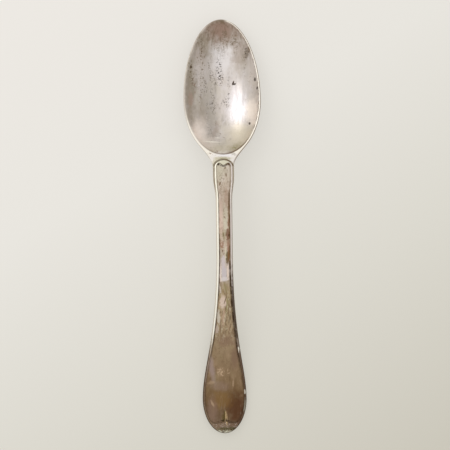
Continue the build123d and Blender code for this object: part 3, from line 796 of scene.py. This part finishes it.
stemFinish = dict(
    gloss=0.36, dents=0.05, blotch=0.4, streak=0.6,
    along=(  # place along the spoon, and the tone that the tarnish has there
        (-69.5, (150, 136, 112)), (-66.5, (112, 90, 68)), (-61.0, (104, 80, 54)), (-55.5, (122, 97, 66)),
        (-47.0, (143, 119, 90)), (-40.0, (154, 132, 102)), (-34.0, (166, 144, 114)), (-22.0, (178, 158, 124)),
        (-15.0, (200, 188, 180)), (-6.0, (194, 176, 154)), (6.0, (196, 180, 161)), (13.0, (190, 174, 156)),
        (22.0, (202, 193, 176)),
    ),
    stainsAndPaintedLight=(
        mark(3.8, -61.5, 3.1, 5.0, (84, 50, 24), 0.85, grain=0.7, ragged=0.7, fade=0.6),
        mark(-1.2, -58.8, 3.4, 2.8, (132, 100, 56), 0.6, grain=0.7, ragged=0.7, fade=0.6),
        mark(-4.2, -62.0, 1.7, 4.0, (142, 116, 100), 0.5, grain=0.6, fade=0.5),
        mark(-4.6, -47.0, 0.9, 5.5, (168, 148, 142), 0.6, turn=-11, grain=0.8, fade=0.6),
        mark(-1.8, -54.0, 3.2, 1.6, (146, 122, 106), 0.5, turn=15, grain=0.8, fade=0.6),
        mark(3.6, -43.5, 1.4, 4.5, (124, 96, 78), 0.6, turn=10, grain=0.8, fade=0.5),
        mark(-1.4, -49.2, 1.1, 1.6, "tan", 0.3, grain=1.0, ragged=0.9, fade=0.8, dull=0.3),
        mark(-1.4, -49.2, 1.2, 1.8, "tan", 0.85, grain=1.4, ragged=0.8, fade=0.5, specks=1.5),
        mark(1.2, -49.5, 0.6, 1.1, "tan", 0.7, grain=1.4, ragged=0.8, fade=0.5, specks=1.7),
        mark(2.9, -53.2, 0.25, 1.3, "tan", 0.4, turn=4, grain=1.4, ragged=0.8, fade=0.6, dull=0.3),
        mark(-4.4, -52.8, 1.2, 0.5, "tan", 0.35, turn=-8, grain=1.4, ragged=1.0, fade=0.6, dull=0.3),
        mark(-4.2, -60.0, 0.3, 1.2, "tan", 0.45, turn=-28, grain=1.4, ragged=0.8, fade=0.6, dull=0.3),
        # painted highlight beside the rib at the handle's end, and painted shade on its left
        mark(0.66, -64.6, 0.14, 1.7, (208, 180, 136), 0.6, turn=-3, grain=1.8, ragged=0.9,
             fade=0.5, dull=0.6),
        mark(-0.7, -65.0, 0.4, 1.6, (92, 74, 32), 0.7, grain=1.5, ragged=0.6, fade=0.5),
        mark(0.6, -38.6, 2.6, 1.7, (134, 106, 86), 0.6, turn=8, grain=0.8, ragged=0.8, fade=0.6),
        mark(-2.2, -37.6, 0.7, 1.4, "bark", 0.7, grain=2.0, ragged=0.9, specks=1.9),
        mark(-2.2, -30.4, 0.6, 2.3, (208, 198, 182), 0.8, turn=-4, grain=1.1, ragged=0.9, dull=0.2),
        mark(-2.7, -34.6, 0.6, 1.8, (194, 176, 160), 0.75, turn=-8, grain=1.1, ragged=0.9, dull=0.2),
        mark(-0.4, -29.6, 0.2, 1.9, "rust", 0.5, turn=14, grain=1.6, ragged=1.0),
        mark(1.6, -31.0, 0.35, 1.7, "tipOlive", 0.5, turn=10, grain=1.4, ragged=1.0),
        mark(-0.7, -25.4, 1.1, 2.3, (222, 200, 184), 0.75, grain=1.2, ragged=0.8, dull=0.2),
        mark(-0.5, -30.6, 0.35, 3.0, (206, 178, 154), 0.5, turn=4, grain=1.6, ragged=1.0),
        mark(0.1, -24.6, 0.16, 1.4, "brown", 0.8, turn=18, grain=2.0, ragged=0.6),
        mark(0.7, -26.4, 0.3, 2.6, "olive", 0.8, turn=4, grain=1.6, ragged=0.8),
        mark(-1.6, -21.0, 0.3, 1.6, "palePink", 0.7, turn=-12, grain=1.6, ragged=0.8, dull=0.2),
        mark(0.1, -20.6, 1.7, 2.2, (156, 134, 98), 0.55, grain=1.2, ragged=0.9, fade=0.5),
        mark(0.2, -20.4, 0.35, 1.8, "olive", 0.6, turn=-15, grain=1.6, ragged=0.8),
        mark(-0.5, -12.2, 0.6, 2.6, (206, 194, 192), 0.85, grain=1.4, ragged=0.8, fade=0.3, dull=0.0),
        mark(-0.3, -15.8, 0.85, 2.4, (202, 192, 192), 0.9, grain=1.4, ragged=0.5, fade=0.2, dull=0.0),
        mark(-0.2, -17.6, 1.3, 0.7, (216, 206, 202), 0.85, grain=1.4, ragged=0.5, fade=0.3, dull=0.0),
        mark(-1.5, -15.6, 0.4, 2.6, (236, 220, 208), 0.85, grain=1.4, ragged=0.9, dull=0.1),
        mark(1.0, -15.2, 0.3, 2.6, (232, 212, 196), 0.8, grain=1.4, ragged=0.9, dull=0.1),
        mark(0.3, -9.0, 0.2, 2.2, (216, 210, 180), 0.7, grain=1.6, ragged=0.8, dull=0.2),
        mark(0.95, -10.4, 0.55, 2.4, (104, 82, 40), 0.85, grain=1.5, ragged=0.8),
        mark(1.4, -9.4, 0.35, 2.2, (138, 92, 52), 0.8, grain=1.6, ragged=0.9),
        mark(-0.1, -2.8, 0.9, 1.5, "olive", 0.4, grain=1.6, ragged=1.1),
        mark(-0.4, -2.8, 0.28, 0.8, (116, 104, 66), 0.8, turn=-10, grain=2.0, ragged=0.8),
        mark(0.5, -2.5, 0.26, 0.7, (116, 104, 66), 0.75, turn=12, grain=2.0, ragged=0.8),
        mark(1.2, -2.8, 0.7, 2.1, (124, 86, 64), 0.85, grain=1.6, ragged=1.0),
        mark(1.55, -3.0, 0.34, 0.5, "umber", 0.95, grain=2.0, ragged=0.3),
        mark(1.4, 1.0, 0.4, 1.8, (152, 112, 90), 0.8, grain=1.6, ragged=1.0),
        mark(1.5, 5.6, 0.4, 2.4, (116, 86, 50), 0.75, grain=1.8, ragged=1.0),
        mark(1.2, -6.6, 0.5, 1.6, (154, 112, 90), 0.7, grain=1.8, ragged=1.0),
        mark(-1.1, -5.8, 0.8, 2.1, "rust", 0.8, grain=2.0, ragged=0.8, specks=2.0),
        mark(-0.95, -6.2, 0.6, 1.3, (146, 104, 80), 0.65, grain=2.2, ragged=1.2),
        mark(-1.0, -6.0, 0.2, 0.4, (212, 186, 168), 0.7, grain=2.2, ragged=0.6),
        mark(-0.7, -8.1, 0.2, 0.32, "brown", 0.85, turn=30, grain=2.2, ragged=0.5),
        mark(-1.15, 2.8, 0.7, 5.4, (216, 188, 174), 0.6, grain=2.0, ragged=1.2, fade=0.6, dull=0.2),
        mark(0.3, 2.6, 0.65, 4.4, (206, 200, 178), 0.65, grain=2.0, ragged=1.2, fade=0.6, dull=0.2),
        mark(-0.2, 8.0, 1.8, 4.5, (164, 142, 124), 0.3, grain=1.0, ragged=0.8, fade=0.8, dull=0.3),
        mark(-0.2, 9.0, 1.7, 6.5, "brown", 0.55, grain=2.0, ragged=1.0, dull=0.4, specks=1.9),
        mark(-0.4, 5.0, 1.4, 6.0, "rust", 0.45, grain=2.0, ragged=1.0, dull=0.4, specks=1.5),
        mark(0.7, 9.5, 0.6, 3.2, (168, 142, 122), 0.6, grain=1.5, ragged=0.8),
        mark(-1.3, 18.0, 1.2, 3.0, (194, 188, 164), 0.45, grain=1.0, ragged=0.6, fade=0.6),
        mark(0.5, 19.4, 0.35, 0.3, "brown", 0.6, grain=2.5, ragged=0.8),
        mark(0.8, 17.0, 0.25, 0.55, "brown", 0.5, grain=2.5, ragged=0.8),
        mark(-0.7, 16.0, 0.6, 1.6, "brown", 0.6, turn=-15, grain=2.5, ragged=0.9, specks=1.8),
        mark(-1.35, 14.1, 0.3, 0.6, "brown", 0.75, turn=15, grain=2.5, ragged=0.6),
        # painted shade, with some tarnish, in the corners of the two lobes below the arch
        mark(-1.75, 20.6, 0.34, 0.38, "umber", 0.9, turn=-30, grain=2.0, ragged=0.3),
        mark(1.75, 20.7, 0.36, 0.34, "umber", 0.9, turn=30, grain=2.0, ragged=0.3),
    ),
)


def toneAlong(tree, place, stops):
    # tarnish that changes along the spoon, with ragged borders
    y = put(tree, "ShaderNodeSeparateXYZ", {0: place}).outputs["Y"]
    noise = noiseAt(tree, place, 0.5, 4.0)
    shifted = plus(tree, y, times(tree, minus(tree, noise, 0.5), 7.0))
    first, last = stops[0][0], stops[-1][0]
    share = put(tree, "ShaderNodeMapRange", {0: shifted, 1: first, 2: last}).outputs[0]
    return toneRamp(tree, share, stops), y


def stemSilver(finish):
    material, tree, place = newMaterial("stemSilver")
    grooveDirtAndShade, wearAndEdgeLight = attribute(tree, "grooveDirtAndShade"), attribute(tree, "wearAndEdgeLight")
    colour, y = toneAlong(tree, place, finish["along"])
    x = put(tree, "ShaderNodeSeparateXYZ", {0: place}).outputs["X"]
    right = between(tree, x, -0.8, 1.0)
    low = between(tree, y, 2.0, -30.0)
    colour = tint(tree, times(tree, mottle(tree, place, (0.5, 0.16, 0.5), 0.5, 0.72), 0.3), colour, "olive")
    pale = minus(tree, 0.4, times(tree, low, 0.25))
    clouds = times(tree, mottle(tree, place, (0.6, 0.22, 0.6), 0.5, 0.7), pale)
    colour = tint(tree, clouds, colour, tint(tree, low, "palePink", "tan"))
    darker = mottle(tree, place, (1.1, 0.3, 1.1), 0.5, 0.75)
    colour = tint(tree, times(tree, times(tree, darker, 0.45), low), colour, "brown")
    fine = specks(tree, place, 1.5, 0.57)
    colour = tint(tree, times(tree, fine, 0.4), colour, "brown")
    # small dark and pale blotches, strongest where hands have worn the tarnish through
    worked = between(tree, y, -40.0, -28.0, 0.2 * finish["blotch"], finish["blotch"])
    dark = mottle(tree, place, (1.3, 0.5, 1.3), 0.52, 0.66)
    colour = tint(tree, times(tree, dark, worked), colour, "brown")
    light = mottle(tree, place, (1.0, 0.25, 1.0), 0.46, 0.32)
    colour = tint(tree, times(tree, light, worked), colour, tint(tree, low, "palePink", "tan"))
    # narrow streaks between the waist and the spatula
    flared = times(tree, between(tree, y, -15.0, -20.0), between(tree, y, -42.0, -34.0))
    streaks = mottle(tree, place, (1.7, 0.34, 1.7), 0.48, 0.6)
    colour = tint(tree, times(tree, times(tree, streaks, finish["streak"]), flared), colour, "brown")
    bare = mottle(tree, place, (1.5, 0.3, 1.5), 0.46, 0.36)
    colour = tint(tree, times(tree, times(tree, bare, finish["streak"]), flared), colour, "straw")
    dull = plus(tree, times(tree, low, 0.55), 0.25)
    colour, dull = layStainsAndPaintedLight(tree, place, colour, dull, finish["stainsAndPaintedLight"])
    lines = scratches(tree, place, 6, 5.0)
    colour = tint(tree, times(tree, lines, between(tree, y, -44.0, -34.0, 0.08, 0.3)), colour, "cream")
    # tarnish lies in the groove beside the thread, and painted shade makes it wide and dark on the right of
    # the lower stem
    ragged = mottle(tree, place, (0.9, 0.45, 0.9), 0.38, 0.6)
    thin = between(tree, grooveDirtAndShade, between(tree, y, 0.0, -6.0, 0.7, 0.4), between(tree, y, 0.0, -6.0, 1.0, 0.85))
    broad = between(tree, grooveDirtAndShade, 0.05, 0.8)
    left = minus(tree, 0.85, times(tree, between(tree, y, -40.0, -46.0), 0.6))
    groove = plus(tree, times(tree, thin, left), times(tree, broad, right), clamp=True)
    band = most(tree, between(tree, y, 17.0, 8.0, 0.35, 1.0), between(tree, y, 19.4, 20.2, 0.0, 0.9))
    band = times(tree, band, between(tree, y, -52.0, -40.0, 0.4, 1.0))
    uneven = times(tree, between(tree, y, -8.0, -2.0, 0.45, 0.7), between(tree, y, 16.0, 12.0, 0.3, 1.0))
    ragged = minus(tree, 1, times(tree, minus(tree, 1, ragged), uneven))
    amount = times(tree, times(tree, groove, band), ragged)
    earth = times(tree, between(tree, y, -15.0, -10.0), right)
    colour = tint(tree, amount, colour, tint(tree, earth, "umber", "earth"))
    # painted shade darkens the outer edge at the shoulder, on the right and round the handle's end, and a
    # painted highlight brightens it on the left
    shoulder, wide = between(tree, y, 10.0, 14.0), between(tree, y, -36.0, -44.0)
    dim = most(tree, most(tree, shoulder, wide), right)
    edge = tint(tree, dim, "rimCream", tint(tree, wide, "edgeOlive", "umber"))
    colour = tint(tree, times(tree, wearAndEdgeLight, 0.75), colour, edge)
    dull = most(tree, dull, amount)
    dents = noiseAt(tree, place, 0.3, 3.0)
    height = minus(tree, dents, times(tree, plus(tree, lines, fine), 0.1))
    gloss = plus(tree, times(tree, darker, 0.1), finish["gloss"])
    finishSilver(tree, colour, dull, gloss, height, finish["dents"])
    return material


stem = makeStem(stemForm)
stem.data.materials.append(stemSilver(stemFinish))


def storeMask(tree, mesh, name, value):
    sizes = {"Geometry": mesh, "Name": name, "Value": value}
    return put(tree, "GeometryNodeStoreNamedAttribute", sizes).outputs[0]


def endTree(tree, mesh, given, result):
    # every tree ends in a real mesh with its material
    real = put(tree, "GeometryNodeRealizeInstances", {"Geometry": mesh}).outputs[0]
    dressed = put(tree, "GeometryNodeSetMaterial", {"Geometry": real, "Material": given["Material"]})
    tree.links.new(dressed.outputs[0], result["Geometry"])


def threadLoft():
    # a rounded bead between two rails of points, given one after the other
    inputs = {"Geometry": "Geometry", "Rail Points": "Int", "Section Points": "Int", "Height": "Float",
              "Edge Round": "Float", "Sink": "Float", "Material": "Material"}
    tree, given, result = newGroup("threadLoft", "GeometryNodeTree", inputs, {"Geometry": "Geometry"})
    rail, half = given["Rail Points"], given["Section Points"]
    double = times(tree, half, 2)
    rows = plus(tree, double, 3)
    grid = put(tree, "GeometryNodeMeshGrid", {"Vertices X": plus(tree, rail, 1), "Vertices Y": rows})
    index = put(tree, "GeometryNodeInputIndex").outputs[0]
    along = calc(tree, "FLOOR", calc(tree, "DIVIDE", plus(tree, index, 0.5), rows))
    step = minus(tree, index, times(tree, along, rows))
    step = calc(tree, "MODULO", step, plus(tree, double, 2))
    along = calc(tree, "MODULO", along, rail)
    position = put(tree, "GeometryNodeInputPosition").outputs[0]

    def railPoint(place):
        sample = {"Geometry": given["Geometry"], "Value": position, "Index": place}
        node = put(tree, "GeometryNodeSampleIndex", sample, data_type="FLOAT_VECTOR", domain="POINT")
        return node.outputs[0]

    outer, inner = railPoint(along), railPoint(plus(tree, along, rail))
    gap = put(tree, "ShaderNodeVectorMath", {0: outer, 1: inner}, operation="DISTANCE").outputs["Value"]
    bend = calc(tree, "MINIMUM", given["Edge Round"], times(tree, gap, 0.5))

    # counts up from the outer edge to the crest, and down again to the inner edge
    down = minus(tree, minus(tree, double, 1), step)
    climb = most(tree, calc(tree, "MINIMUM", step, down), 0)
    turn = times(tree, calc(tree, "DIVIDE", climb, minus(tree, half, 1)), pi / 2)
    crest = calc(tree, "SINE", turn)
    aside = times(tree, bend, minus(tree, 1, calc(tree, "COSINE", turn)))
    share = calc(tree, "DIVIDE", aside, gap)
    pastMiddle = calc(tree, "GREATER_THAN", step, minus(tree, half, 0.5))
    beforeEnd = calc(tree, "LESS_THAN", step, plus(tree, double, 0.5))
    fromInner = times(tree, pastMiddle, beforeEnd)
    flipped = minus(tree, 1, times(tree, share, 2))
    share = plus(tree, share, times(tree, fromInner, flipped))
    sunk = calc(tree, "GREATER_THAN", step, minus(tree, double, 0.5))
    lift = minus(tree, times(tree, crest, given["Height"]),
                times(tree, sunk, given["Sink"]))

    place = put(tree, "ShaderNodeMix", {0: share, 4: outer, 5: inner}, data_type="VECTOR").outputs[1]
    offset = put(tree, "ShaderNodeCombineXYZ", {"Z": lift}).outputs[0]
    sizes = {"Geometry": grid.outputs[0], "Position": place, "Offset": offset}
    bead = put(tree, "GeometryNodeSetPosition", sizes).outputs[0]
    bead = storeMask(tree, bead, "crest", crest)
    bead = storeMask(tree, bead, "outside", minus(tree, 1, pastMiddle))
    bead = put(tree, "GeometryNodeMergeByDistance", {"Geometry": bead, "Distance": 0.001 * mm}).outputs[0]
    endTree(tree, bead, given, result)
    return tree


def beadSweep():
    # a bead along a line of points, thinner at its ends by its taper
    inputs = {"Geometry": "Geometry", "Girth": "Float", "Taper": "Float", "Sides": "Int", "Crest": "Float",
              "Material": "Material"}
    tree, given, result = newGroup("beadSweep", "GeometryNodeTree", inputs, {"Geometry": "Geometry"})
    line = put(tree, "GeometryNodeMeshToCurve", {"Mesh": given["Geometry"]})
    factor = put(tree, "GeometryNodeSplineParameter").outputs["Factor"]
    swing = calc(tree, "ABSOLUTE", minus(tree, times(tree, factor, 2), 1))
    thin = times(tree, given["Taper"], calc(tree, "POWER", swing, 3))
    girth = times(tree, given["Girth"], minus(tree, 1, thin))
    profile = put(tree, "GeometryNodeCurvePrimitiveCircle", {"Resolution": given["Sides"], "Radius": 1.0})
    sizes = {"Curve": line.outputs[0], "Profile Curve": profile.outputs[0], "Scale": girth, "Fill Caps": True}
    swept = put(tree, "GeometryNodeCurveToMesh", sizes).outputs[0]
    endTree(tree, storeMask(tree, swept, "crest", given["Crest"]), given, result)
    return tree


def lineMesh(name, lines):
    mesh = bpy.data.meshes.new(name)
    points, edges = [], []
    for line in lines:
        first = len(points)
        points += [tuple(np.asarray(p) * mm) for p in line]
        edges += [(k, k + 1) for k in range(first, len(points) - 1)]
    mesh.from_pydata(points, edges, [])
    return mesh


beads = beadSweep()


def onFace(half):
    return np.column_stack([half, faceHeight(half[:, 1])])


threadFinish = dict(
    gloss=0.3, dents=0.04, right=(192, 180, 178),
    along=(
        (-69.5, (140, 124, 102)), (-65.0, (128, 108, 86)), (-56.0, (126, 106, 86)), (-47.0, (150, 131, 116)),
        (-42.0, (176, 158, 138)), (-36.0, (240, 231, 212)), (-18.0, (250, 243, 228)), (22.0, (246, 240, 222)),
    ),
    stainsAndPaintedLight=(
        mark(0.0, 21.3, 1.9, 0.75, (206, 200, 176), 0.85, grain=1.5, ragged=0.4, fade=0.4),
        # painted highlight: the left thread is whitened and made matt along the waist
        mark(-3.4, -12.0, 1.9, 27.0, (255, 250, 236), 0.9, ragged=0.2, fade=0.2, dull=0.8),
        # dirt and painted shade darken the right thread on the lower stem
        mark(3.4, -25.0, 1.4, 13.0, "umber", 0.85, grain=0.8, ragged=0.6, fade=0.3),
        # painted glints on the right thread near the spatula
        mark(4.3, -41.8, 0.5, 1.3, "cream", 0.85, turn=8, ragged=0.5, dull=0.0),
        mark(6.8, -56.2, 0.4, 0.8, "cream", 0.55, ragged=0.6, dull=0.0),
        mark(6.8, -61.0, 0.6, 2.6, (150, 146, 130), 0.7, ragged=0.6),
        mark(4.0, -66.2, 2.2, 1.6, "bark", 0.8, grain=0.9, ragged=0.7),
        mark(-0.5, -67.0, 4.6, 1.5, (116, 94, 74), 0.75, grain=1.5, ragged=0.7),
        mark(0.0, -67.2, 4.6, 1.3, "palePink", 0.3, grain=1.5, ragged=0.7, specks=2.2),
        mark(0.3, -68.5, 3.4, 0.6, "moss", 0.55, grain=1.8, ragged=1.4),
        mark(0.2, -68.7, 3.8, 0.7, (60, 60, 28), 0.95, grain=2.0, ragged=0.8, specks=2.4),
        # painted highlight: the pale bevel round the handle's end
        mark(0.0, -70.1, 4.2, 0.95, (218, 216, 194), 0.8, grain=1.8, ragged=0.9, dull=0.3),
        mark(-0.6, -69.5, 2.4, 0.4, "umber", 0.8, grain=2.0, ragged=0.8, specks=2.6),
        # painted highlight on the rib's right flank, and painted shade on its left
        mark(0.45, -64.3, 0.32, 2.6, (216, 188, 138), 0.9, turn=-3, grain=1.8, ragged=0.8, dull=0.9),
        mark(-0.3, -64.0, 0.4, 2.4, (92, 74, 32), 0.9, grain=1.5, ragged=0.5, dull=0.9),
    ),
)


def threadSilver(finish):
    material, tree, place = newMaterial("threadSilver")
    crest = attribute(tree, "crest")
    colour, y = toneAlong(tree, place, finish["along"])
    x = put(tree, "ShaderNodeSeparateXYZ", {0: place}).outputs["X"]
    right = between(tree, x, 0.5, 2.0)
    low = between(tree, y, -10.0, -45.0)
    colour = tint(tree, times(tree, right, 0.75), colour, tint(tree, low, tone(finish["right"]), "bark"))
    blotch = mottle(tree, place, (0.8, 0.3, 0.8), 0.5, 0.7)
    colour = tint(tree, times(tree, times(tree, blotch, 0.6), plus(tree, low, 0.25)), colour, "brown")
    fine = specks(tree, place, 1.5, 0.56)
    colour = tint(tree, times(tree, times(tree, fine, 0.6), low), colour, "bark")
    colour, dull = layStainsAndPaintedLight(tree, place, colour, times(tree, low, 0.5), finish["stainsAndPaintedLight"])
    # the flanks keep their tarnish under painted shade, darkest on the outer flank of the lower stem, and the
    # crest is rubbed bright
    flank = times(tree, between(tree, crest, 0.85, 0.25), minus(tree, 1, times(tree, low, 0.5)))
    outside = times(tree, between(tree, crest, 0.95, 0.6), attribute(tree, "outside"))
    flank = most(tree, flank, times(tree, outside, low))
    shade = tint(tree, low, "olive", "umber")
    colour = tint(tree, times(tree, flank, 0.8), colour, shade)
    dull = most(tree, dull, times(tree, flank, 0.8))
    dents = noiseAt(tree, place, 0.5, 3.0)
    height = minus(tree, dents, times(tree, fine, 0.1))
    gloss = plus(tree, times(tree, blotch, 0.12), finish["gloss"])
    finishSilver(tree, colour, dull, gloss, height, finish["dents"])
    return material


def makeThread(form):
    metal = threadSilver(threadFinish)
    outer = wholeLoop(onFace(threadEdge(0)))
    inner = wholeLoop(onFace(panelHalf()))
    rails = lineMesh("threadRails", [outer, inner])
    values = {"Rail Points": len(outer), "Section Points": form["sectionPoints"], "Material": metal,
              "Height": form["height"] * mm, "Edge Round": form["edgeRound"] * mm, "Sink": form["sink"] * mm}
    thread = growPiece("threadBorder", rails, threadLoft(), values)
    # the rib between the end lobes
    first, last = endY + form["endCusp"] - form["ribBack"], endY + form["ribReach"]
    y = np.linspace(first, last, form["ribPoints"])
    middle = np.column_stack([np.zeros(len(y)), y, faceHeight(y) - form["ribSink"] * form["ribGirth"]])
    values = {"Girth": form["ribGirth"] * mm, "Taper": form["ribTaper"], "Sides": form["ribSides"],
              "Crest": 0.9, "Material": metal}
    rib = growPiece("threadRib", lineMesh("ribLine", [middle]), beads, values)
    work = bmesh.new()
    work.from_mesh(thread.data)
    work.from_mesh(rib.data)
    for face in work.faces:
        face.material_index = 0
    work.to_mesh(thread.data)
    work.free()
    thread.data.materials.clear()
    thread.data.materials.append(metal)
    bpy.data.objects.remove(rib)
    return thread


thread = makeThread(threadForm)


# solder: a fillet of it shows round the arch on the neck, and along the drop under the bowl
solderForm = dict(
    girth=0.16, taper=0.3, sides=10, sit=0.03, gloss=0.45, dents=0.03,
    overEnd=2, underEnd=6,  # points of the arch and the drop that it stops short of
)


def solderGrey(form):
    material, tree, place = newMaterial("solderGrey")
    patches = mottle(tree, place, (0.7, 0.7, 0.7), 0.35, 0.65)
    colour = tint(tree, patches, "smudge", "edgeOlive")
    fine = specks(tree, place, 1.8, 0.56)
    colour = tint(tree, times(tree, fine, 0.5), colour, "pit")
    dull = plus(tree, times(tree, patches, 0.3), 0.4)
    dents = noiseAt(tree, place, 1.6, 3.0)
    finishSilver(tree, colour, dull, plus(tree, times(tree, fine, 0.1), form["gloss"]), dents, form["dents"])
    return material


def makeSolder(form):
    arch = stemForm["archPoints"]
    over = stemHalf(archFront())[:arch - form["overEnd"]]
    level = np.full(len(over), form["sit"])
    top = fromRim(np.column_stack([over[:, 0], rimPlace(over[:, 1], level), level]))
    under = stemHalf(dropFront())[:arch - form["underEnd"]]
    level = seatUnder(under)
    low = fromRim(np.column_stack([under[:, 0], rimPlace(under[:, 1], level), level - form["sit"]]))
    lines = [np.concatenate([half[:0:-1] * (-1, 1, 1), half]) for half in (top, low)]
    values = {"Girth": form["girth"] * mm, "Taper": form["taper"], "Sides": form["sides"], "Crest": 0.5,
              "Material": solderGrey(form)}
    return growPiece("solderSeam", lineMesh("solderLines", lines), beads, values)


solder = makeSolder(solderForm)


# camera, floor and light
viewForm = dict(
    width=151.35, middle=(0.51, 0.45, 6.0),  # what the picture shows across, and what it looks at
    lens=100.0, sensor=36.0, tiltX=0.77, tiltY=-3.41, roll=-0.67, clip=0.01,
)


def makeCamera(form):
    data = bpy.data.cameras.new("camera")
    camera = bpy.data.objects.new("camera", data)
    bpy.context.scene.collection.objects.link(camera)
    data.lens = form["lens"]
    data.sensor_width = form["sensor"]
    data.clip_start = form["clip"]
    away = form["width"] * form["lens"] / form["sensor"] * mm
    middle = Vector(form["middle"]) * mm
    camera.rotation_euler = (radians(form["tiltX"]), radians(form["tiltY"]), radians(form["roll"]))
    camera.location = middle + camera.rotation_euler.to_matrix() @ Vector((0, 0, away))
    bpy.context.scene.camera = camera
    print("camera", round(away, 3), "m away")


lightForm = dict(
    world=0.82,
    boxes=(  # place, width and height of each soft box in metres, all face the middle of the spoon
        dict(name="topBox", at=(-0.12, 0.22, 0.6), wide=0.8, high=0.8, power=0.6),
        dict(name="sideBox", at=(-0.34, 0.28, 0.40), wide=0.32, high=0.32, power=0.44),
    ),
)


def makeLight(form):
    world = bpy.data.worlds.new("softRoom")
    bpy.context.scene.world = world
    world.use_nodes = True
    world.node_tree.nodes["Background"].inputs["Color"].default_value = (1, 1, 1, 1)
    world.node_tree.nodes["Background"].inputs["Strength"].default_value = form["world"]
    for box in form["boxes"]:
        data = bpy.data.lights.new(box["name"], "AREA")
        data.shape = "RECTANGLE"
        data.size, data.size_y = box["wide"], box["high"]
        data.energy = box["power"]
        lamp = bpy.data.objects.new(box["name"], data)
        bpy.context.scene.collection.objects.link(lamp)
        lamp.location = box["at"]
        lamp.rotation_euler = Vector(box["at"]).to_track_quat("Z", "Y").to_euler()
    print("light from the room and", len(form["boxes"]), "soft boxes")


floorForm = dict(
    size=3.0, view=152.0, rough=0.9,
    glow=0.6,  # share of the floor that shows as if evenly lit
    lean=0.35,  # share of the fall of light that goes across the view
    # painted fall of light: the floor's colour darkens from the top left of the view to the bottom right
    along=((0.0, (236, 232, 226)), (0.35, (233, 230, 223)), (0.66, (221, 218, 208)), (1.0, (205, 201, 188))),
)


def makeFloor(form):
    size = form["size"]
    mesh = bpy.data.meshes.new("floor")
    corners = [(-size, -size, 0), (size, -size, 0), (size, size, 0), (-size, size, 0)]
    mesh.from_pydata(corners, [], [(0, 1, 2, 3)])
    floor = bpy.data.objects.new("floor", mesh)
    bpy.context.scene.collection.objects.link(floor)
    material, tree, place = newMaterial("paleFloor")
    split = put(tree, "ShaderNodeSeparateXYZ", {0: place}).outputs
    fall = minus(tree, times(tree, split["X"], form["lean"]), times(tree, split["Y"], 1 - form["lean"]))
    share = plus(tree, times(tree, fall, 1 / form["view"]), 0.5)
    pale = toneRamp(tree, share, form["along"])
    shader = tree.nodes["Principled BSDF"]
    tree.links.new(pale, shader.inputs["Base Color"])
    shader.inputs["Roughness"].default_value = form["rough"]
    ray = put(tree, "ShaderNodeLightPath").outputs
    seen = plus(tree, ray["Is Camera Ray"], ray["Is Glossy Ray"])
    seen = plus(tree, seen, ray["Is Transmission Ray"], clamp=True)
    even = put(tree, "ShaderNodeEmission", {"Color": pale, "Strength": 1.0}).outputs[0]
    glow = times(tree, seen, form["glow"])
    both = put(tree, "ShaderNodeMixShader", {0: glow, 1: shader.outputs[0], 2: even}).outputs[0]
    tree.links.new(both, tree.nodes["Material Output"].inputs["Surface"])
    mesh.materials.append(material)
    print("floor", 2 * size, "m wide")


makeCamera(viewForm)
makeLight(lightForm)
makeFloor(floorForm)
for piece, node, slot in ((bowl, "bowl", "bowl_silver"), (stem, "stem", "stem_silver"),
                          (thread, "thread_border", "thread_silver"), (solder, "solder_seam", "solder")):
    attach(piece, "root")
    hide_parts(node)
    print(piece.name, "replaces", node)
bpy.context.scene.view_settings.view_transform = "Standard"
